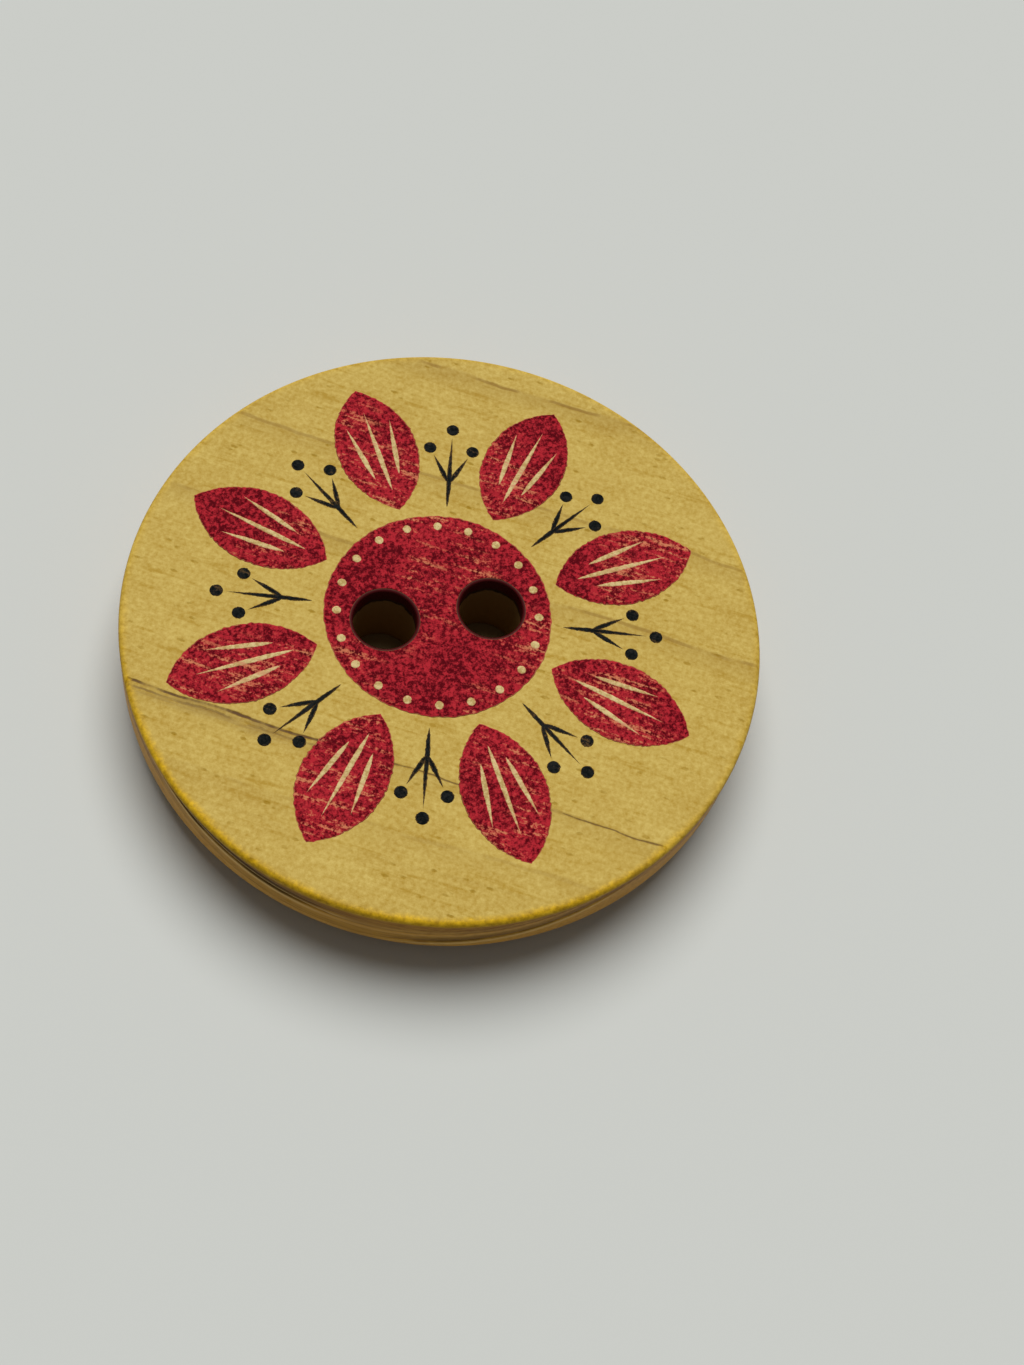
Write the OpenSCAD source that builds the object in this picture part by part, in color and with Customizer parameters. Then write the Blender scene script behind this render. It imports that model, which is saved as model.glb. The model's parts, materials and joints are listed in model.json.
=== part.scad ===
// Two-hole wooden button with a printed face.
// A turned disc of pale wood lies on its back, face up. The origin is the middle of the back,
// +Z is up out of the face, and the two thread holes lie along X.

/* [Disc] */
// Diameter of the button
button_d = 25; // [23:0.5:40]
// Thickness of the wood
button_t = 3.6; // [3:0.1:6]
// Radius of the rounding where the face meets the rim
face_round = 0.2; // [0.1:0.05:1]
// Radius of the rounding where the rim meets the back
back_round = 1.6; // [0.5:0.1:1.9]

/* [Thread holes] */
// Diameter of each thread hole
hole_d = 2.5; // [1.6:0.1:3]
// Distance between the centres of the two holes
hole_pitch = 4.2; // [3.6:0.1:5]
// Distance along X from the middle of the disc to the middle between the holes
hole_shift = -0.26; // [-0.4:0.01:0.4]
// Distance along Y from the middle of the disc to the line of the holes
hole_rise = 0.26; // [-0.4:0.01:0.4]
// Width of the eased edge at each mouth of a hole
hole_ease = 0.1; // [0.05:0.05:0.3]

/* [Print] */
// Thickness of the dried ink
ink_t = 0.04; // [0.02:0.01:0.1]
// Width of bare wood between the petal tips and the rounding of the rim
print_border = 1.5; // [0.5:0.1:2.5]
// Turn of the print against the line of the holes, in degrees
print_turn = 9; // [0:1:45]
// Number of petals round the eye of the rosette
petals = 8; // [6:1:10]
// Width of each petal
petal_w = 3.3; // [2.4:0.1:3.6]
// Width of wood between the eased edge of a thread hole and the ink round it
ink_setback = 0.12; // [0.06:0.02:0.2]
// Width between the thread holes and the edge of the eye
eye_margin = 1.1; // [1:0.1:1.5]
// Width of bare wood between the eye and the petals
eye_gap = 0.45; // [0.2:0.05:0.8]

/* [Print details] */
// Distance from the tips of a petal to the ends of its middle vein
vein_inset = 0.9; // [0.6:0.1:1.4]
// Width of a vein at its middle
vein_w = 0.24; // [0.15:0.01:0.3]
// Distance between the middles of neighbouring veins
vein_pitch = 0.72; // [0.5:0.02:0.8]
// Angle between neighbouring veins, in degrees
vein_fan = 9; // [0:1:12]
// Number of dots round the eye
eye_dots = 20; // [12:1:24]
// Diameter of a dot round the eye
eye_dot_d = 0.36; // [0.2:0.02:0.4]
// Distance from the edge of the eye to the middle of a dot
eye_dot_inset = 0.5; // [0.3:0.05:0.7]
// Distance from the end of a sprig's stem to the circle of the petal tips
sprig_inset = 2.2; // [1.2:0.1:2.8]
// Width of a sprig's strokes at their middle
sprig_w = 0.2; // [0.12:0.02:0.3]
// Angle between a side shoot and its stem, in degrees
shoot_angle = 28; // [20:1:40]
// Diameter of the bud at the end of a stroke
bud_d = 0.52; // [0.3:0.02:0.7]
// Width of bare wood between a stroke and its bud
bud_gap = 0.1; // [0.05:0.05:0.3]

/* [Hidden] */
$fn = 180;
// Overlap of a cut past the surface that it opens
cut = 0.5;
// Steps along a brush stroke, and how early it swells: 1 is at its middle, less is sooner
stroke_steps = 10;
stroke_lean = 0.7;
button_r = button_d / 2;
hole_r = hole_d / 2;
// Radius of the opening in the ink round a thread hole
ink_hole_r = hole_r + hole_ease + ink_setback;
// Radius of the print from the middle of the face to the petal tips
print_r = button_r - face_round - print_border;
// Radius of the eye, which holds both thread holes
eye_r = hole_pitch / 2 + hole_r + eye_margin;
// Distance from the middle of the face to the inner tip of a petal
petal_root = eye_r + eye_gap;
petal_l = print_r - petal_root;
petal_mid = petal_root + petal_l / 2;
// Side veins are shorter than the middle one
vein_l = petal_l - 2 * vein_inset;
side_vein_share = 0.68;
// A sprig stands between two petals, on the circle of their inner tips
sprig_l = petal_l - sprig_inset;
// Side shoots leave the stem part of the way up and are part of its length
shoot_start_share = 0.3;
shoot_l_share = 0.5;

// Half section of the disc, to the right of its axis: flat face and back, and a rounded rim.
module disc_section() {
    difference() {
        square([button_r, button_t]);
        rim_corner(button_t - face_round, face_round, 1);
        rim_corner(back_round, back_round, -1);
    }
}

// What the lathe takes off a corner of the rim to leave a rounding of radius r.
// z is the height of the rounding's centre, and side is 1 at the face and -1 at the back.
module rim_corner(z, r, side) {
    translate([button_r - r, z])
        mirror([0, side < 0 ? 1 : 0])
            difference() {
                square(r + cut);
                circle(r);
            }
}

// One drilled thread hole, with its edges eased at the face and at the back.
module thread_hole() {
    translate([0, 0, -cut])
        cylinder(h = button_t + 2 * cut, r = hole_r);
    for (back = [0, 1])
        translate([0, 0, back * button_t])
            mirror([0, 0, back])
                translate([0, 0, -cut])
                    cylinder(h = hole_ease + cut, r1 = hole_r + hole_ease + cut, r2 = hole_r);
}

// Puts a copy of the child at each of the two holes.
module at_holes() {
    for (side = [-1, 1])
        translate([hole_shift + side * hole_pitch / 2, hole_rise])
            children();
}

// Puts a copy of the child at each of n equal steps round the print, facing outwards along X.
// The print's middle is midway between the holes.
module round_print(n, phase = 0) {
    for (i = [0 : n - 1])
        translate([hole_shift, hole_rise])
            rotate(print_turn + (i + phase) * 360 / n)
                children();
}

// Almond shape between two equal arcs, from the origin along X, of length l and width w.
module almond(l, w) {
    r = (l * l + w * w) / (4 * w);
    translate([l / 2, 0])
        intersection() {
            translate([0, r - w / 2]) circle(r);
            translate([0, w / 2 - r]) circle(r);
        }
}

// Half width of a brush stroke at the share t of its length: a sine that swells early.
function stroke_half(w, t) = w / 2 * sin(180 * pow(t, stroke_lean));

// Brush stroke from the origin along X, of length l, w wide at its widest and pointed at both ends.
module stroke(l, w) {
    left = [for (i = [0 : stroke_steps]) i / stroke_steps];
    right = [for (i = [stroke_steps - 1 : -1 : 1]) i / stroke_steps];
    polygon(concat(
        [for (t = left) [l * t, stroke_half(w, t)]],
        [for (t = right) [l * t, -stroke_half(w, t)]]
    ));
}

// Three veins that fan out along a petal.
module petal_veins() {
    for (k = [-1 : 1]) {
        l = vein_l * (k == 0 ? 1 : side_vein_share);
        translate([petal_mid, k * vein_pitch])
            rotate(k * vein_fan)
                translate([-l / 2, 0])
                    stroke(l, vein_w);
    }
}

// A stroke from the origin along X that stops short of a bud, whose middle is at the length l.
module budded_stroke(l) {
    stroke(l - bud_d / 2 - bud_gap, sprig_w);
    translate([l, 0]) circle(bud_d / 2);
}

// A stem with a shoot to each side.
module sprig() {
    translate([petal_root, 0]) {
        budded_stroke(sprig_l);
        for (side = [-1, 1])
            translate([shoot_start_share * sprig_l, 0])
                rotate(side * shoot_angle)
                    budded_stroke(shoot_l_share * sprig_l);
    }
}

module cream_shapes() {
    round_print(petals) petal_veins();
    round_print(eye_dots)
        translate([eye_r - eye_dot_inset, 0])
            circle(eye_dot_d / 2);
}

module black_shapes() {
    round_print(petals, 0.5) sprig();
}

module red_shapes() {
    translate([hole_shift, hole_rise]) circle(eye_r);
    round_print(petals)
        translate([petal_root, 0])
            almond(petal_l, petal_w);
}

// A film of dried ink on the face, in the outline of the children.
module ink_film() {
    translate([0, 0, button_t])
        linear_extrude(ink_t)
            children();
}

// The turned wooden body.
module wooden_disc() {
    color("#c1a350")
        difference() {
            rotate_extrude() disc_section();
            at_holes() thread_hole();
        }
}

// Crimson eye and petals, left open round the holes and where the other inks lie.
module red_print() {
    color("#8f2430")
        ink_film()
            difference() {
                red_shapes();
                cream_shapes();
                black_shapes();
                at_holes() circle(ink_hole_r);
            }
}

// Cream veins in the petals and dots round the eye.
module cream_print() {
    color("#dcc48c")
        ink_film()
            difference() {
                cream_shapes();
                at_holes() circle(ink_hole_r);
            }
}

// Black sprigs between the petals.
module black_print() {
    color("#16181a")
        ink_film()
            black_shapes();
}

wooden_disc();
red_print();
cream_print();
black_print();
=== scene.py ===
import functools
import json
import math

import bmesh
import bpy
import numpy as np
from mathutils import Matrix, Vector


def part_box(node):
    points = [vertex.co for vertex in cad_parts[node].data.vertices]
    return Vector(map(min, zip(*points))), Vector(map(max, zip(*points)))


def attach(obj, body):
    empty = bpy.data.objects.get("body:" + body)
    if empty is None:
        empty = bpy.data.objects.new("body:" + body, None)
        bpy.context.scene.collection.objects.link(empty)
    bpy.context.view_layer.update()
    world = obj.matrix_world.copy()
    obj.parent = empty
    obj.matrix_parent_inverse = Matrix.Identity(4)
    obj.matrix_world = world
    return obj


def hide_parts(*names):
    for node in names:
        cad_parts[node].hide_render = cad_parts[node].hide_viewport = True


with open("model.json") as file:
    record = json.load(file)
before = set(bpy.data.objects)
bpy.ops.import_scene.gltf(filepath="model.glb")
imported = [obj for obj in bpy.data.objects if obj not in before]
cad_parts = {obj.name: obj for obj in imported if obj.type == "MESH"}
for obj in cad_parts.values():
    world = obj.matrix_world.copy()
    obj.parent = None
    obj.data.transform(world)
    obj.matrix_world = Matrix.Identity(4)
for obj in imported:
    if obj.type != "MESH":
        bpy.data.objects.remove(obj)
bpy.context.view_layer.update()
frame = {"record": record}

# Wooden disc
# The button is one slice of pale yellow wood, turned on a lathe, drilled for the thread and lacquered.
# Its face is flat with a crisp edge that is only just eased, and its back rolls in with a broad rounding.
# Drying has opened cracks along its growth lines, one across the face and others in the rim.

MM = 0.001
disc_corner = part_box("wooden_disc")[1] / MM
disc_r = disc_corner.x
disc_t = disc_corner.z
face_round = 0.2
back_round = 1.6
hole_ease = 0.1
bores = [mount for mount in frame["record"]["mounts"] if mount["kind"] == "bore"]
hole_r = bores[0]["dims"]["r_mm"]
holes = sorted(tuple(np.array(mount["pos_m"][:2]) / MM) for mount in bores)
pair = np.mean(holes, axis=0)
half_pitch = (holes[1][0] - holes[0][0]) / 2
face_r = disc_r - face_round
back_r = disc_r - back_round
mouth_r = hole_r + hole_ease
sides = (-1, 1)
# Steps of the mesh: round each half, along the line between the halves, and over each part of the section
arc_steps = 280
chord_steps = 112
face_rows = 25
edge_rows = 13
side_rows = 52
roll_rows = 25
back_rows = 9
lip_rows = 5
bore_rows = 9
# Points nearer than this, in metres, are welded
weld_gap = 2e-7
# The growth sheets slope down through the wood, bend a little along the grain and drop at one end
grain_turn = math.radians(-27)
ring_slope = 3.08
bend_slope = 0.0231
bend_curve = 0.0025
end_drop = 0.35
end_reach = (6.5, 11.0)
# The growth line that has opened as a crack across the face
crack_place = -6.54
# Each growth line: its place across the face, how dark it is on the face and on the rim,
# the place along the grain where it is darkest on the rim, and how deep a crack it is there
growth_lines = (
    (-10.2, 0.1, 0.6, -3.5, 0.04),
    (-9.1, 0.3, 1.0, -4.5, 0.24),
    (crack_place, 0.5, 0.8, 5.8, 0.12),
    (2.0, 0.7, 0.5, -9.0, 0.0),
    (6.1, 0.6, 0.5, 9.0, 0.0),
    (11.3, 0.9, 0.5, 0.0, 0.0),
)
# A crack in the rim: its half width across the sheets, the distances from its darkest place at which it
# ends and is whole, and how far below the eased edge it is fully open
crack_half = 0.24
crack_fade = (4.5, 2.0)
crack_start = 0.2


def arc_angles(circle_x, radius, side):
    """Equal steps round the part of a circle on one side of the line between the two thread holes.

    The circle's middle is at circle_x, and that line is x = pair[0]. radius may be a column of radii.
    """
    reach = np.arccos((pair[0] - circle_x) / radius)
    share = np.linspace(0, 1, arc_steps + 1)
    if side > 0:
        return reach * (2 * share - 1)
    return reach + 2 * (np.pi - reach) * share


def holed_half(side, middle, outer_r, inner_r, levels):
    """Half of a round plate with one thread hole, as straight rays from the hole to the half's edge.

    The half's edge is its arc and the line x = pair[0].
    Row k of the grid is at the share levels[k] of each ray.
    """
    angle = arc_angles(middle[0], outer_r, side)
    arc = middle + outer_r * np.stack([np.cos(angle), np.sin(angle)], axis=-1)
    chord_y = np.linspace(arc[-1, 1], arc[0, 1], chord_steps + 1)[1:-1]
    chord = np.stack([np.full_like(chord_y, pair[0]), chord_y], axis=-1)
    edge = np.concatenate([arc, chord])
    hole = pair + [side * half_pitch, 0]
    ray = edge - hole
    mouth = hole + inner_r * ray / np.linalg.norm(ray, axis=1, keepdims=True)
    return mouth + levels[:, None, None] * (edge - mouth)


def with_height(flat, height):
    """Adds a height, one number or one per point, to a grid of flat points."""
    z = np.broadcast_to(height, flat.shape[:-1])
    return np.concatenate([flat, z[..., None]], axis=-1)


def smooth(value, low, high):
    """0 below low, 1 above high and a smooth cubic between them. With low above high it falls instead."""
    share = np.clip((value - low) / (high - low), 0, 1)
    return share ** 2 * (3 - 2 * share)


def rim_cracks(x, y, z):
    """How far the cracks in the rim cut inwards: a bell across each growth sheet that has opened.

    Each crack fades out along the grain on both sides of its darkest place, and below the face's edge.
    """
    along = x * math.cos(grain_turn) + y * math.sin(grain_turn)
    across = y * math.cos(grain_turn) - x * math.sin(grain_turn)
    depth = disc_t - z
    bend = along * bend_slope + along ** 2 * bend_curve - end_drop * smooth(along, *end_reach)
    sheet = across + depth * ring_slope - bend
    cut = np.zeros_like(sheet)
    for place, _, _, darkest, opening in growth_lines:
        bell = np.exp(-((sheet - place) / crack_half) ** 2)
        cut = cut + opening * bell * smooth(abs(along - darkest), *crack_fade)
    return cut * smooth(depth, face_round, face_round + crack_start)


def rim_half(side):
    """Half of the rim: the section, a small arc, a straight side and a broad arc, carried round the disc.

    Cracks along the growth sheets are cut into it.
    """
    small = np.linspace(np.pi / 2, 0, edge_rows)
    broad = np.linspace(0, -np.pi / 2, roll_rows)
    side_z = np.linspace(disc_t - face_round, back_round, side_rows)[1:-1]
    radius = np.concatenate([
        face_r + face_round * np.cos(small),
        np.full_like(side_z, disc_r),
        back_r + back_round * np.cos(broad),
    ])
    height = np.concatenate([
        disc_t - face_round + face_round * np.sin(small),
        side_z,
        back_round + back_round * np.sin(broad),
    ])
    angle = arc_angles(0, radius[:, None], side)
    whole = radius[:, None] * np.ones_like(angle)
    reach = whole - rim_cracks(whole * np.cos(angle), whole * np.sin(angle), height[:, None])
    flat = np.stack([reach * np.cos(angle), reach * np.sin(angle)], axis=-1)
    return with_height(flat, height[:, None])


def hole_wall(side, top_mouth, back_mouth):
    """The wall of a thread hole: a section with a rounded lip at each end, carried round the hole.

    The directions turn slowly from those of the face's mouth to those of the back's mouth.
    """
    lip = np.linspace(0, np.pi / 2, lip_rows)
    lip_r = mouth_r - hole_ease * np.sin(lip)
    lip_drop = hole_ease * (1 - np.cos(lip))
    middle = np.linspace(disc_t - hole_ease, hole_ease, bore_rows)[1:-1]
    radius = np.concatenate([lip_r, np.full_like(middle, hole_r), lip_r[::-1]])
    height = np.concatenate([disc_t - lip_drop, middle, lip_drop[::-1]])
    hole = pair + [side * half_pitch, 0]
    share = np.linspace(0, 1, len(radius))[:, None, None]
    way = (1 - share) * (top_mouth - hole) + share * (back_mouth - hole)
    way = way / np.linalg.norm(way, axis=-1, keepdims=True)
    return with_height(hole + radius[:, None, None] * way, height[:, None])


def grid_quads(rows, columns, closed):
    """Corner numbers of the quads between neighbouring points of a grid, which may be closed sideways."""
    row = np.arange(rows - 1)[:, None] * columns
    column = np.arange(columns if closed else columns - 1)[None, :]
    following = (column + 1) % columns
    corners = [row + column, row + following, row + columns + following, row + columns + column]
    return np.stack(np.broadcast_arrays(*corners), axis=-1).reshape(-1, 4)


def mesh_piece(name, grids):
    """One closed mesh from grids of (points in mm, closed sideways, inset), welded where they meet.

    The inset of a point, its distance in mm from the piece's outline, is kept for the material.
    """
    points = []
    quads = []
    insets = []
    start = 0
    for grid, closed, inset in grids:
        rows, columns = grid.shape[:2]
        points.append(grid.reshape(-1, 3) * MM)
        quads.append(grid_quads(rows, columns, closed) + start)
        insets.append(np.broadcast_to(inset, (rows, columns)).ravel())
        start += rows * columns
    mesh = bpy.data.meshes.new(name)
    mesh.from_pydata(np.concatenate(points).tolist(), [], np.concatenate(quads).tolist())
    mesh.attributes.new("inset", "FLOAT", "POINT").data.foreach_set("value", np.concatenate(insets))
    work = bmesh.new()
    work.from_mesh(mesh)
    bmesh.ops.remove_doubles(work, verts=work.verts, dist=weld_gap)
    bmesh.ops.recalc_face_normals(work, faces=work.faces)
    work.to_mesh(mesh)
    work.free()
    mesh.shade_smooth()
    piece = bpy.data.objects.new(name, mesh)
    bpy.context.scene.collection.objects.link(piece)
    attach(piece, "root")
    return piece


def srgb(red, green, blue):
    """The linear colour of a screen colour given in steps of 255."""
    part = np.array([red, green, blue]) / 255
    linear = np.where(part <= 0.04045, part / 12.92, ((part + 0.055) / 1.055) ** 2.4)
    return (*linear.tolist(), 1.0)


class Value:
    """A socket of one material's nodes. Arithmetic with numbers or other values adds Math nodes."""

    def __init__(self, tree, socket=None):
        self.tree = tree
        self.socket = socket

    def node(self, kind, settings, sockets, out=0):
        """Adds a node of this kind, with its settings first and then the values or links of its sockets."""
        made = self.tree.nodes.new(kind)
        for name, setting in settings.items():
            setattr(made, name, setting)
        for key, given in sockets.items():
            if isinstance(given, Value):
                self.tree.links.new(given.socket, made.inputs[key])
            else:
                made.inputs[key].default_value = given
        return Value(self.tree, made.outputs[out])

    def math(self, operation, *terms):
        """Adds a Math node for this operation on the terms."""
        return self.node("ShaderNodeMath", {"operation": operation}, dict(enumerate(terms)))

    def __add__(self, other):
        return self.math("ADD", self, other)

    def __radd__(self, other):
        return self.math("ADD", other, self)

    def __sub__(self, other):
        return self.math("SUBTRACT", self, other)

    def __rsub__(self, other):
        return self.math("SUBTRACT", other, self)

    def __mul__(self, other):
        return self.math("MULTIPLY", self, other)

    def __rmul__(self, other):
        return self.math("MULTIPLY", other, self)

    def __truediv__(self, other):
        return self.math("DIVIDE", self, other)

    def __abs__(self):
        return self.math("ABSOLUTE", self)

    def root(self):
        return self.math("SQRT", self)

    def least(self, other):
        return self.math("MINIMUM", self, other)

    def most(self, other):
        return self.math("MAXIMUM", self, other)

    def rise(self, low, high):
        """0 below low, 1 above high and smooth between them. With low above high it falls instead."""
        sockets = {"Value": self, "From Min": low, "From Max": high, "To Min": 0.0, "To Max": 1.0}
        return self.node("ShaderNodeMapRange", {"interpolation_type": "SMOOTHSTEP"}, sockets)

    def noise(self, scale, detail=2.0, roughness=0.5):
        """Soft noise about 0.5 at this point, with features about 1 / scale mm wide."""
        sockets = {"Vector": self, "Scale": scale, "Detail": detail, "Roughness": roughness}
        return self.node("ShaderNodeTexNoise", {"noise_dimensions": "3D"}, sockets)

    def blend(self, first, second):
        """The first colour where this value is 0 and the second where it is 1."""
        return self.node("ShaderNodeMix", {"data_type": "RGBA"}, {0: self, 6: first, 7: second}, out=2)


def point_value(x, y, z):
    """The point with these coordinates."""
    return x.node("ShaderNodeCombineXYZ", {}, {"X": x, "Y": y, "Z": z})


# Where things start and end across the sheets, from a growth line: late wood on the face,
# painted shade above the line and a painted highlight on the lip below it on the rim, and the stain and
# second hairline by the crack
late_reach = (-1.2, -0.05)
painted_shade_reach = (-2.4, -0.6)
line_end = (0.2, 0.0)
lip_highlight_reach = (0.3, 0.55)
lip_highlight_end = (1.2, 0.7)
stain_reach = (-0.7, -0.2)
stain_end = (0.12, -0.02)
second_gap = 0.24
# Depths at which the face's colour gives way to the rim's, and heights at which the rim ends at the back
bare_reach = (0.05, 0.2)
back_reach = (0.0, 0.4)
wood_deep = srgb(173, 138, 42)
wood_pale = srgb(206, 180, 96)
wood_pore = srgb(146, 110, 8)
wood_line = srgb(138, 102, 30)
wood_stain = srgb(134, 104, 50)
wood_crack = srgb(86, 56, 27)


class WoodGrain:
    """The wood at every point of one material: growth rings, a crack along one, fibres and pores."""

    def __init__(self, tree):
        metres = Value(tree).node("ShaderNodeTexCoord", {}, {}, "Object")
        scaled = {0: metres, "Scale": 1 / MM}
        self.point = metres.node("ShaderNodeVectorMath", {"operation": "SCALE"}, scaled)
        self.x = self.point.node("ShaderNodeSeparateXYZ", {}, {0: self.point}, "X")
        self.y = self.point.node("ShaderNodeSeparateXYZ", {}, {0: self.point}, "Y")
        self.z = self.point.node("ShaderNodeSeparateXYZ", {}, {0: self.point}, "Z")
        self.along = self.x * math.cos(grain_turn) + self.y * math.sin(grain_turn)
        self.across = self.y * math.cos(grain_turn) - self.x * math.sin(grain_turn)
        self.depth = disc_t - self.z
        self.radius = (self.x * self.x + self.y * self.y).root()
        self.bare = self.depth.rise(*bare_reach)
        self.rim = self.bare * self.z.rise(*back_reach)
        self.fibres()
        self.rings()
        self.pores()

    def streaks(self, lengthwise, crosswise, detail):
        """Noise with about this many features in a millimetre, along the grain and across it."""
        stretched = point_value(self.along * lengthwise, self.across * crosswise, self.depth * crosswise)
        return stretched.noise(1.0, detail, 0.6)

    def fibres(self):
        """Fine streaks along the grain, longer faint ones, soft mottling and a fine speckle."""
        self.fibre = self.streaks(0.55, 8.0, 3.0)
        self.vessel = self.streaks(0.3, 3.0, 2.0)
        self.mottle = self.streaks(0.36, 0.6, 3.0)
        self.speckle = self.point.noise(5.5, 3.0, 0.7)

    def rings(self):
        """Growth lines are the edges of sloping sheets that bend a little along the grain.

        On the rim each is darkest near one place, with painted shade above it and a painted highlight on
        the lip below it.
        One of them has opened as a hairline crack, with a second hairline and a brown stain beside it.
        """
        bend = self.along * bend_slope + self.along * self.along * bend_curve
        bend = bend - end_drop * self.along.rise(*end_reach)
        loose = self.streaks(0.3, 0.4, 4.0)
        sheet = self.across + self.depth * ring_slope - bend + (loose - 0.5) * 0.5 * (1 - self.rim)
        lines = []
        bands = []
        shades = []
        lip_highlights = []
        for place, on_face, on_rim, darkest, _ in growth_lines:
            offset = sheet - place
            broken = point_value(self.along * 0.45, place * 3.7, self.depth).noise(1.0, 3.0, 0.6)
            edge = self.rim * on_rim * (0.25 + 0.75 * abs(self.along - darkest).rise(*crack_fade))
            width = (0.02 + 0.09 * broken) * (1 + 5 * edge * edge)
            on_flat = on_face * (1 - self.rim)
            strength = on_flat * broken.rise(0.38, 0.58) + edge * (0.45 + 0.55 * broken.rise(0.3, 0.5))
            lines.append((abs(offset) / width).rise(1.5, 0.55) * strength)
            bands.append(offset.rise(*late_reach) * offset.rise(*line_end) * on_flat)
            # Painted shade above each line on the rim, and a painted highlight where the lip below it
            # catches the light
            shades.append(offset.rise(*painted_shade_reach) * offset.rise(*line_end) * edge)
            lip_highlights.append(offset.rise(*lip_highlight_reach) * offset.rise(*lip_highlight_end) * edge)
        self.line = functools.reduce(Value.most, lines)
        self.late = functools.reduce(Value.most, bands)
        self.shade = functools.reduce(Value.most, shades)
        self.lip = functools.reduce(Value.most, lip_highlights)
        offset = sheet - crack_place
        broken = point_value(self.along * 0.7, 2.3, self.depth).noise(1.0, 4.0, 0.65)
        left = self.along.rise(1.0, -4.0)
        opening = (0.015 + 0.07 * broken) * (0.6 + 0.4 * left)
        hairline = (abs(offset) / opening).rise(1.5, 0.4) * broken.rise(0.3, 0.55) * (0.75 + 0.25 * left)
        beside = abs(offset + second_gap + (broken - 0.5) * 0.4)
        second = beside.rise(0.07, 0.02) * left * broken.rise(0.62, 0.4)
        self.crack = hairline.most(second * 0.45)
        stained = offset.rise(*stain_reach) * offset.rise(*stain_end)
        self.stain = stained * left * (self.fibre + self.mottle).rise(0.75, 1.15)

    def pores(self):
        """Small dark dashes along the grain, one in about half the cells of a stretched random pattern."""
        cell = point_value(self.along * 0.65, self.across * 1.5, self.depth * 0.6)
        scatter = {"voronoi_dimensions": "3D", "feature": "F1"}
        gap = cell.node("ShaderNodeTexVoronoi", scatter, {"Vector": cell, "Scale": 1.6})
        chance = self.point.noise(1.7, 2.0, 0.6)
        self.pore = (gap + (self.speckle - 0.5) * 0.15).rise(0.2, 0.09) * chance.rise(0.3, 0.64)

    def colour(self):
        """Colour of the face: the grain, with growth lines, the stain, pores and the crack over it."""
        grain = (self.mottle - 0.5) * 0.9 + (self.fibre - 0.5) * 0.6 - self.vessel.rise(0.54, 0.74) * 0.4
        bare = (0.54 + grain + (self.speckle - 0.5) * 1.9).blend(wood_deep, wood_pale)
        ringed = (self.line * 0.6 + self.late * 0.3).blend(bare, wood_line)
        stained = (self.stain * 0.6).blend(ringed, wood_stain)
        pored = (self.pore * 0.65).blend(stained, wood_pore)
        return (self.crack * 0.95).blend(pored, wood_crack)

    def height(self):
        """Height of the surface, where 1 is proud and pores and the crack lie lower."""
        grain = 0.25 * self.fibre + 0.15 * self.speckle
        return grain - 0.4 * self.pore - 0.9 * self.crack - 0.2 * self.line


amber_deep = srgb(164, 124, 4)
amber_pale = srgb(224, 178, 18)
rim_pale = srgb(196, 146, 62)
rim_brown = srgb(148, 100, 36)
# Painted shade above the rim's cracks, and a painted highlight on the lip below them
rim_painted_shade = srgb(84, 62, 28)
rim_lip_highlight = srgb(220, 184, 114)
rim_line = srgb(28, 19, 10)
bore_dark = srgb(134, 104, 60)
bore_seam = srgb(40, 24, 12)
# The ink run into the holes is crimson ink, painted darker than on the face partly as shade in the holes
bore_ink_and_shade = srgb(66, 10, 12)
# The amber band along the face's edge: its radii, its depths, and where across the grain its painted shade
# is strongest
amber_reach = (face_r - 0.2, face_r + 0.12)
amber_foot = (0.34, 0.14)
amber_shade_side = (-2.0, -10.0)
# How deep the ink has run into the holes, how softly it ends, and the dark seam just below it
bore_blur = 0.06
ink_run = 0.6
run_blur = 0.25
seam_drop = 0.12
seam_reach = (0.16, 0.02)
wood_rough = 0.48
wood_gloss = 0.08
wood_relief = 0.03
bump_strength = 0.6


def new_material(name, roughness, specular):
    """A material with one Principled shader, and that shader's node."""
    material = bpy.data.materials.new(name)
    material.use_nodes = True
    shader = material.node_tree.nodes["Principled BSDF"]
    shader.inputs["Roughness"].default_value = roughness
    shader.inputs["Specular IOR Level"].default_value = specular
    return material, shader


def finish_shader(shader, colour, rough, height, depth_mm):
    """Joins the colour, the roughness and a bump of this depth to the shader."""
    tree = colour.tree
    bump = {"Height": height, "Distance": depth_mm * MM, "Strength": bump_strength}
    tree.links.new(colour.socket, shader.inputs["Base Color"])
    tree.links.new(rough.socket, shader.inputs["Roughness"])
    tree.links.new(colour.node("ShaderNodeBump", {}, bump).socket, shader.inputs["Normal"])


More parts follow.
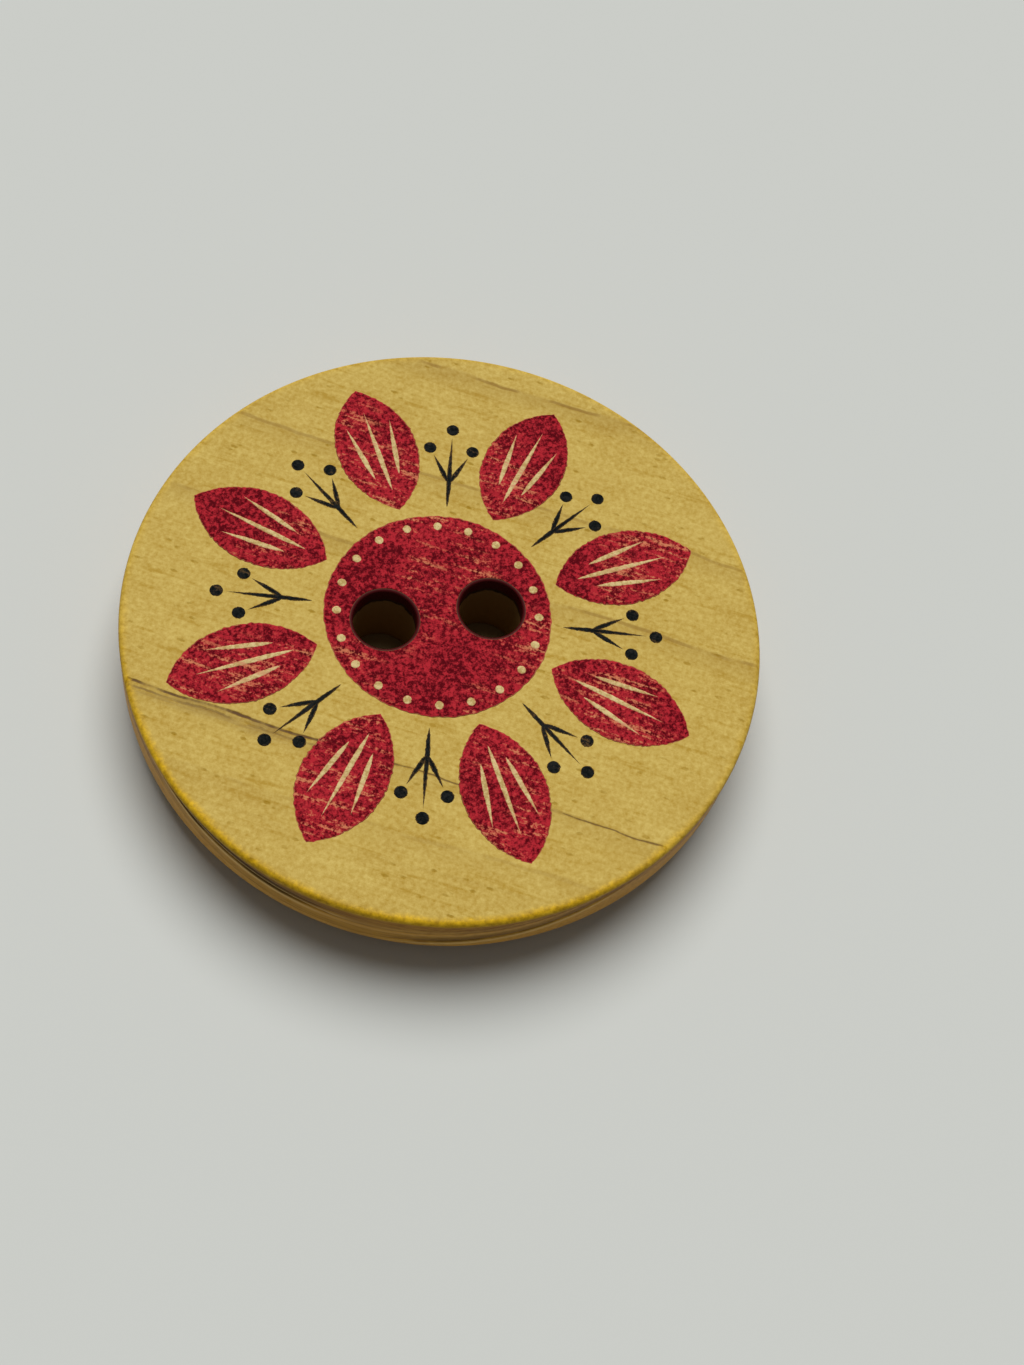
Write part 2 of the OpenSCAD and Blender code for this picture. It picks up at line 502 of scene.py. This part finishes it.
def wood_material():
    """Lacquered wood: an amber lacquer tint on the eased edge, stronger on the front side as painted shade,
    and browner on the rim.

    The crimson of the print has run a little way down into the thread holes.
    """
    material, shader = new_material("lacquered_wood", wood_rough, wood_gloss)
    wood = WoodGrain(material.node_tree)
    # The rim's tone follows the mottle and fibres, and is paler further down the rim
    rim_tone = 0.2 + (wood.mottle - 0.5) * 1.2 + (wood.fibre - 0.5) * 2.4 + 0.7 * wood.depth.rise(0.5, 1.1)
    # The rim, with painted shade above its cracks, a painted highlight on the lip below them and its dark
    # growth lines
    rim = (wood.shade * 0.85).blend(rim_tone.blend(rim_brown, rim_pale), rim_painted_shade)
    rim = (wood.lip * 0.85).blend(rim, rim_lip_highlight)
    rim = (wood.line * 0.95).blend(rim, rim_line)
    colour = wood.bare.blend(wood.colour(), rim)
    uneven = (wood.mottle - 0.5) * 0.4 + (wood.speckle - 0.5) * 0.25
    band = (wood.radius + uneven).rise(*amber_reach) * (wood.depth + uneven).rise(*amber_foot)
    # The band is a faint lacquer tint all round, strengthened on the front side as painted shade of the
    # edge that faces away from the lamp
    tint_and_front_shade = 0.25 + 0.65 * wood.across.rise(*amber_shade_side)
    amber = (0.5 + (wood.speckle - 0.5) * 2.5 + (wood.mottle - 0.5)).blend(amber_deep, amber_pale)
    colour = (band * tint_and_front_shade).blend(colour, amber)
    gaps = []
    for hole in holes:
        from_x = wood.x - hole[0]
        from_y = wood.y - hole[1]
        gaps.append((from_x * from_x + from_y * from_y).root())
    bore = gaps[0].least(gaps[1]).rise(mouth_r + bore_blur, mouth_r)
    run = wood.depth + (wood.point.noise(2.0) - 0.5) * 0.5
    colour = (bore * wood.depth.rise(0.0, 0.15)).blend(colour, bore_dark)
    # Crimson ink down the hole's top, partly painted shade
    colour = (bore * run.rise(ink_run + run_blur, ink_run)).blend(colour, bore_ink_and_shade)
    colour = (bore * abs(run - ink_run - seam_drop).rise(*seam_reach)).blend(colour, bore_seam)
    rough = wood_rough + 0.2 * (wood.mottle - 0.5) + 0.2 * wood.pore
    finish_shader(shader, colour, rough, wood.height(), wood_relief)
    return material


disc_grids = []
for side in sides:
    face = holed_half(side, np.zeros(2), face_r, mouth_r, np.linspace(0, 1, face_rows))
    back = holed_half(side, np.zeros(2), back_r, mouth_r, np.linspace(0, 1, back_rows))
    disc_grids.append((with_height(face, disc_t), True, 1.0))
    disc_grids.append((with_height(back, 0.0), True, 1.0))
    disc_grids.append((rim_half(side), False, 1.0))
    disc_grids.append((hole_wall(side, face[0], back[0]), True, 1.0))
wooden_disc = mesh_piece("turned_disc", disc_grids)
wooden_disc.data.materials.append(wood_material())
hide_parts("wooden_disc")

# Crimson print
# The red of the rosette is a thin film of crimson ink, rolled on through a stencil.
# It is an eye round both thread holes and a ring of almond petals, with edges that are a little ragged.

print_turn = math.radians(9)
print_border = 1.5
petal_count = 8
petal_w = 3.3
petal_steps = 96
petal_lanes = 17
eye_margin = 1.1
eye_gap = 0.45
eye_rows = 16
ink_gap = 0.02
eye_r = half_pitch + hole_r + eye_margin
eye_hole_r = mouth_r + ink_gap
petal_root = eye_r + eye_gap
petal_l = face_r - print_border - petal_root
# The film's thickness, the width over which it swells to that, and how far its edge wanders
red_t = 0.03
red_ease = 0.12
red_wander = 0.03
red_dark = srgb(84, 3, 14)
red_bright = srgb(178, 40, 50)
red_worn = srgb(204, 128, 90)
red_speckle = 7.0
red_wear = 0.9
ink_rough = 0.55
ink_gloss = 0.012
ink_relief = 0.02
frayed_width = 0.05
ragged = np.random.default_rng(31)


def ragged_edge(share, size):
    """A small random wander along an edge: sines of several lengths with random phases, as a sum."""
    counts = np.array([2, 5, 11, 17, 23, 31, 43])
    phases = ragged.uniform(0, 2 * np.pi, len(counts))
    heights = ragged.uniform(0.15, 0.45, len(counts))
    waves = np.sin(2 * np.pi * counts * share[:, None] + phases)
    return size * (waves * heights).sum(axis=1)


def almond_half(share, length, width):
    """Half width of an almond between two equal arcs, at these shares of its length."""
    arc_r = (length ** 2 + width ** 2) / (4 * width)
    from_middle = (share - 0.5) * length
    return np.sqrt(arc_r ** 2 - from_middle ** 2) - (arc_r - width / 2)


def film_patch(length, half_width, wander, low, high, ease, steps=64, lanes=9):
    """A film of ink along X from the origin, as lanes from edge to edge over a flat bottom.

    half_width gives the half width at a share of the length. Each edge wanders by its own random amount,
    and by less where the film is narrow. Its top is at the height low at the edges and swells to high
    within the distance ease.
    """
    share = (1 - np.cos(np.linspace(0, np.pi, steps))) / 2
    half = half_width(share)
    room = np.minimum(1, half / (4 * wander))
    left = half + ragged_edge(share, wander) * room
    right = half + ragged_edge(share, wander) * room
    lane = np.sin(np.linspace(-np.pi / 2, np.pi / 2, lanes))
    y = np.where(lane > 0, lane * left[:, None], lane * right[:, None])
    x = np.broadcast_to((share * length)[:, None], y.shape)
    inset = (1 - abs(lane)) * np.maximum(half, 0)[:, None]
    height = disc_t + low + (high - low) * (1 - np.exp(-inset / ease))
    top = with_height(np.stack([x, y], axis=-1), height)
    bottom = top[:, [0, -1]]
    return [(top, False, inset), (bottom, False, 0.0)]


def placed(patch, start, turn):
    """The patch turned about its own origin and then moved to start."""
    cos = math.cos(turn)
    sin = math.sin(turn)
    turned = np.array([[cos, sin, 0], [-sin, cos, 0], [0, 0, 1]])
    return [(grid @ turned + [start[0], start[1], 0], closed, inset) for grid, closed, inset in patch]


def round_print(patch, share):
    """The patch turned about the print's middle by this share of a full turn, past the print's own turn."""
    return placed(patch, pair, print_turn + share * 2 * math.pi)


def ink_material(name, dark, bright, worn, speckle_scale, wear):
    """Dried ink over wood: speckled from dark to bright, thin at its edges and along the grain."""
    material, shader = new_material(name, ink_rough, ink_gloss)
    tree = material.node_tree
    wood = WoodGrain(tree)
    fine = wood.point.noise(speckle_scale, 3.0, 0.7)
    coarse = wood.point.noise(speckle_scale * 0.3, 2.0, 0.5)
    patchy = wood.point.noise(0.25, 1.0)
    tone = 0.5 + (fine - 0.5) * 5.0 + (coarse - 0.5) * 1.2 + (patchy - 0.5) * 0.8
    ink = tone.node("ShaderNodeClamp", {}, {"Value": tone}).blend(dark, bright)
    ink = (wood.line * 0.3 + wood.crack * 0.6 + wood.stain * 0.35).blend(ink, dark)
    streak = point_value(wood.along * 0.4, wood.across * 3.2, wood.depth).noise(1.0, 4.0, 0.7)
    thin = (streak + (fine - 0.5) * 0.7).rise(0.55, 0.7) * patchy.rise(0.42, 0.58) * wear
    inset = Value(tree).node("ShaderNodeAttribute", {"attribute_name": "inset"}, {}, "Fac")
    frayed = (inset + (fine - 0.5) * 0.16).rise(frayed_width, 0.0) * 0.7
    bare = thin.most(frayed)
    colour = bare.blend(ink, worn)
    height = 0.5 * fine - 0.6 * wood.crack - 0.4 * bare
    finish_shader(shader, colour, ink_rough + 0.3 * (coarse - 0.5), height, ink_relief)
    return material


def eye_half(side, levels, high, ease):
    """Half of the eye: a round film with one thread hole, down to nothing at its edges.

    Its outer edge wanders by three sines round the eye, which die away quickly towards the middle.
    """
    flat = holed_half(side, pair, eye_r, eye_hole_r, levels)
    reach = flat - pair
    distance = np.linalg.norm(reach, axis=-1)
    angle = np.arctan2(reach[..., 1], reach[..., 0])
    wander = 0.01 * np.sin(7 * angle) + 0.012 * np.sin(31 * angle + 1) + 0.01 * np.sin(67 * angle + 2)
    flat = flat + reach * (wander / eye_r * (distance / eye_r) ** 8)[..., None]
    hole = pair + [side * half_pitch, 0]
    from_edge = np.maximum(0, eye_r - distance)
    from_hole = np.maximum(0, np.linalg.norm(flat - hole, axis=-1) - eye_hole_r)
    swell = 1 - np.exp(-np.minimum(from_edge, from_hole) / ease)
    return with_height(flat, disc_t + high * swell), from_edge


red_grids = []
eye_levels = (1 - np.cos(np.linspace(0, np.pi, eye_rows))) / 2
for side in sides:
    eye_top, eye_inset = eye_half(side, eye_levels, red_t, red_ease)
    eye_floor, _ = eye_half(side, eye_levels[[0, -1]], 0.0, red_ease)
    red_grids.append((eye_top, True, eye_inset))
    red_grids.append((eye_floor, True, 0.0))
for petal in range(petal_count):
    almond = film_patch(
        petal_l, lambda t: almond_half(t, petal_l, petal_w), red_wander, 0.0, red_t, red_ease,
        petal_steps, petal_lanes,
    )
    red_grids += round_print(placed(almond, (petal_root, 0), 0), petal / petal_count)
red_print = mesh_piece("crimson_print", red_grids)
red_ink = ink_material("crimson_ink", red_dark, red_bright, red_worn, red_speckle, red_wear)
red_print.data.materials.append(red_ink)
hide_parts("red_print")

# Cream print
# Veins in the petals and a ring of dots in the eye are cream ink, laid in strokes over the crimson.
# Each stroke swells soon after it starts and runs out to a point.

vein_inset = 0.9
vein_l = petal_l - 2 * vein_inset
side_vein_share = 0.68
vein_w = 0.24
vein_pitch = 0.72
vein_fan = math.radians(9)
dot_count = 20
dot_d = 0.36
dot_steps = 24
dot_inset = 0.5
dot_ring_r = eye_r - dot_inset
cream_low = 0.02
cream_high = 0.04
cream_ease = 0.02
stroke_lean = 0.7
stroke_wander = 0.012
dot_wander = 0.01
cream_dark = srgb(180, 152, 92)
cream_bright = srgb(216, 194, 138)
cream_worn = srgb(196, 104, 84)
cream_speckle = 7.0
cream_wear = 0.6


def stroke_half(share, width):
    """Half width of a brush stroke: a sine that swells early."""
    return width / 2 * np.sin(np.pi * share ** stroke_lean)


def dot_half(share, diameter):
    """Half width of a round dot at these shares of its length."""
    return diameter * np.sqrt(np.maximum(0, share * (1 - share)))


cream_grids = []
for petal in range(petal_count):
    for lane in (-1, 0, 1):
        length = vein_l if lane == 0 else vein_l * side_vein_share
        vein = film_patch(
            length, lambda t: stroke_half(t, vein_w), stroke_wander, cream_low, cream_high, cream_ease,
        )
        vein = placed(vein, (-length / 2, 0), 0)
        vein = placed(vein, (petal_root + petal_l / 2, lane * vein_pitch), lane * vein_fan)
        cream_grids += round_print(vein, petal / petal_count)
for dot in range(dot_count):
    spot = film_patch(
        dot_d, lambda t: dot_half(t, dot_d), dot_wander, cream_low, cream_high, cream_ease, dot_steps,
    )
    spot = placed(spot, (dot_ring_r - dot_d / 2, 0), 0)
    cream_grids += round_print(spot, dot / dot_count)
cream_print = mesh_piece("cream_print_strokes", cream_grids)
cream_ink = ink_material("cream_ink", cream_dark, cream_bright, cream_worn, cream_speckle, cream_wear)
cream_print.data.materials.append(cream_ink)
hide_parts("cream_print")

# Black print
# Between the petals stand sprigs in black ink: a stem with a shoot to each side, each ending in a bud.
# They are the last strokes of the print.

sprig_inset = 2.2
sprig_l = petal_l - sprig_inset
sprig_w = 0.2
shoot_start_share = 0.3
shoot_l_share = 0.5
shoot_start = shoot_start_share * sprig_l
shoot_l = shoot_l_share * sprig_l
shoot_angle = math.radians(28)
bud_d = 0.52
bud_gap = 0.1
bud_steps = 32
black_t = 0.025
black_ease = 0.08
black_dark = srgb(8, 13, 13)
black_bright = srgb(30, 32, 31)
black_worn = srgb(104, 78, 44)
black_speckle = 7.0
black_wear = 0.7


def budded_stroke(length):
    """A stroke that stops short of a round bud, whose middle is at this length."""
    stem_l = length - bud_d / 2 - bud_gap
    stem = film_patch(stem_l, lambda t: stroke_half(t, sprig_w), stroke_wander, 0.0, black_t, black_ease)
    bud = film_patch(
        bud_d, lambda t: dot_half(t, bud_d), stroke_wander, 0.0, black_t, black_ease, bud_steps,
    )
    return stem + placed(bud, (length - bud_d / 2, 0), 0)


black_grids = []
for sprig in range(petal_count):
    sprig_film = budded_stroke(sprig_l)
    for side in sides:
        sprig_film += placed(budded_stroke(shoot_l), (shoot_start, 0), side * shoot_angle)
    black_grids += round_print(placed(sprig_film, (petal_root, 0), 0), (sprig + 0.5) / petal_count)
black_print = mesh_piece("black_print_sprigs", black_grids)
black_ink = ink_material("black_ink", black_dark, black_bright, black_worn, black_speckle, black_wear)
black_print.data.materials.append(black_ink)
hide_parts("black_print")

# Studio
# A plain pale matt floor under a broad soft lamp high behind the button, with a little light all round.
# The floor is painted with shadow where the button covers it, so that the thread holes look deep.

floor_half = 3.0
floor_tone = srgb(203, 205, 200)
painted_shadow_tone = srgb(136, 118, 84)
floor_rough = 0.9
floor_gloss = 0.1
ambient = 0.12
lamp_side = math.radians(12)
lamp_height = math.radians(62)
lamp_spread = math.radians(46)
lamp_strength = 3.1

floor_corners = np.array([[-1, -1, 0], [1, -1, 0], [1, 1, 0], [-1, 1, 0]]) * floor_half
floor_mesh = bpy.data.meshes.new("floor")
floor_mesh.from_pydata(floor_corners.tolist(), [], [(0, 1, 2, 3)])
floor = bpy.data.objects.new("floor", floor_mesh)
bpy.context.scene.collection.objects.link(floor)
floor_paint, floor_shader = new_material("floor_paint", floor_rough, floor_gloss)
floor_place = Value(floor_paint.node_tree).node("ShaderNodeTexCoord", {}, {}, "Object")
from_button = floor_place.node("ShaderNodeVectorMath", {"operation": "LENGTH"}, {0: floor_place}, "Value")
# Painted shadow on the floor under the button
shadow_under_button = from_button.rise(back_r * MM, back_r * MM / 2)
floor_colour = shadow_under_button.blend(floor_tone, painted_shadow_tone)
floor_paint.node_tree.links.new(floor_colour.socket, floor_shader.inputs["Base Color"])
floor_mesh.materials.append(floor_paint)

world = bpy.data.worlds.new("studio")
bpy.context.scene.world = world
world.use_nodes = True
sky = world.node_tree.nodes["Background"]
rays = Value(world.node_tree)
straight = rays.node("ShaderNodeLightPath", {}, {}, "Is Camera Ray")
mirrored = rays.node("ShaderNodeLightPath", {}, {}, "Is Glossy Ray")
passed = rays.node("ShaderNodeLightPath", {}, {}, "Is Transmission Ray")
sky_tone = straight.most(mirrored).most(passed).blend((ambient, ambient, ambient, 1.0), floor_tone)
world.node_tree.links.new(sky_tone.socket, sky.inputs["Color"])

lamp_data = bpy.data.lights.new("soft_lamp", "SUN")
lamp_data.angle = lamp_spread
lamp_data.energy = lamp_strength
lamp = bpy.data.objects.new("soft_lamp", lamp_data)
lamp_way = Vector((
    math.sin(lamp_side) * math.cos(lamp_height),
    math.cos(lamp_side) * math.cos(lamp_height),
    math.sin(lamp_height),
))
lamp.matrix_world = lamp_way.to_track_quat("Z", "Y").to_matrix().to_4x4()
bpy.context.scene.collection.objects.link(lamp)

# Camera
# It stands a hand's width above the button, looks down on it from the front left, and leans a little.
# Its place, lean and lens were fitted to the outlines of the face, the rim and the thread holes.

view_azimuth = math.radians(-24.845)
view_height = math.radians(62.604)
view_lean = math.radians(16.037)
view_distance = 76.0
view_slide = 3.141
photo_height = 1365
focal_pixels = 1873.5
film_width = 36
near_clip = 0.001

to_camera = Vector((
    math.sin(view_azimuth) * math.cos(view_height),
    -math.cos(view_azimuth) * math.cos(view_height),
    math.sin(view_height),
))
level = Vector((math.cos(view_azimuth), math.sin(view_azimuth), 0))
upright = to_camera.cross(level)
view_right = level * math.cos(view_lean) + upright * math.sin(view_lean)
view_up = upright * math.cos(view_lean) - level * math.sin(view_lean)
camera_data = bpy.data.cameras.new("camera")
camera_data.sensor_width = film_width
camera_data.lens = focal_pixels * film_width / photo_height
camera_data.clip_start = near_clip
camera = bpy.data.objects.new("camera", camera_data)
camera_turn = Matrix((view_right, view_up, to_camera)).transposed().to_4x4()
camera_place = (to_camera * view_distance + level * view_slide) * MM
camera.matrix_world = Matrix.Translation(camera_place) @ camera_turn
bpy.context.scene.collection.objects.link(camera)
bpy.context.scene.camera = camera
bpy.context.scene.view_settings.view_transform = "Standard"
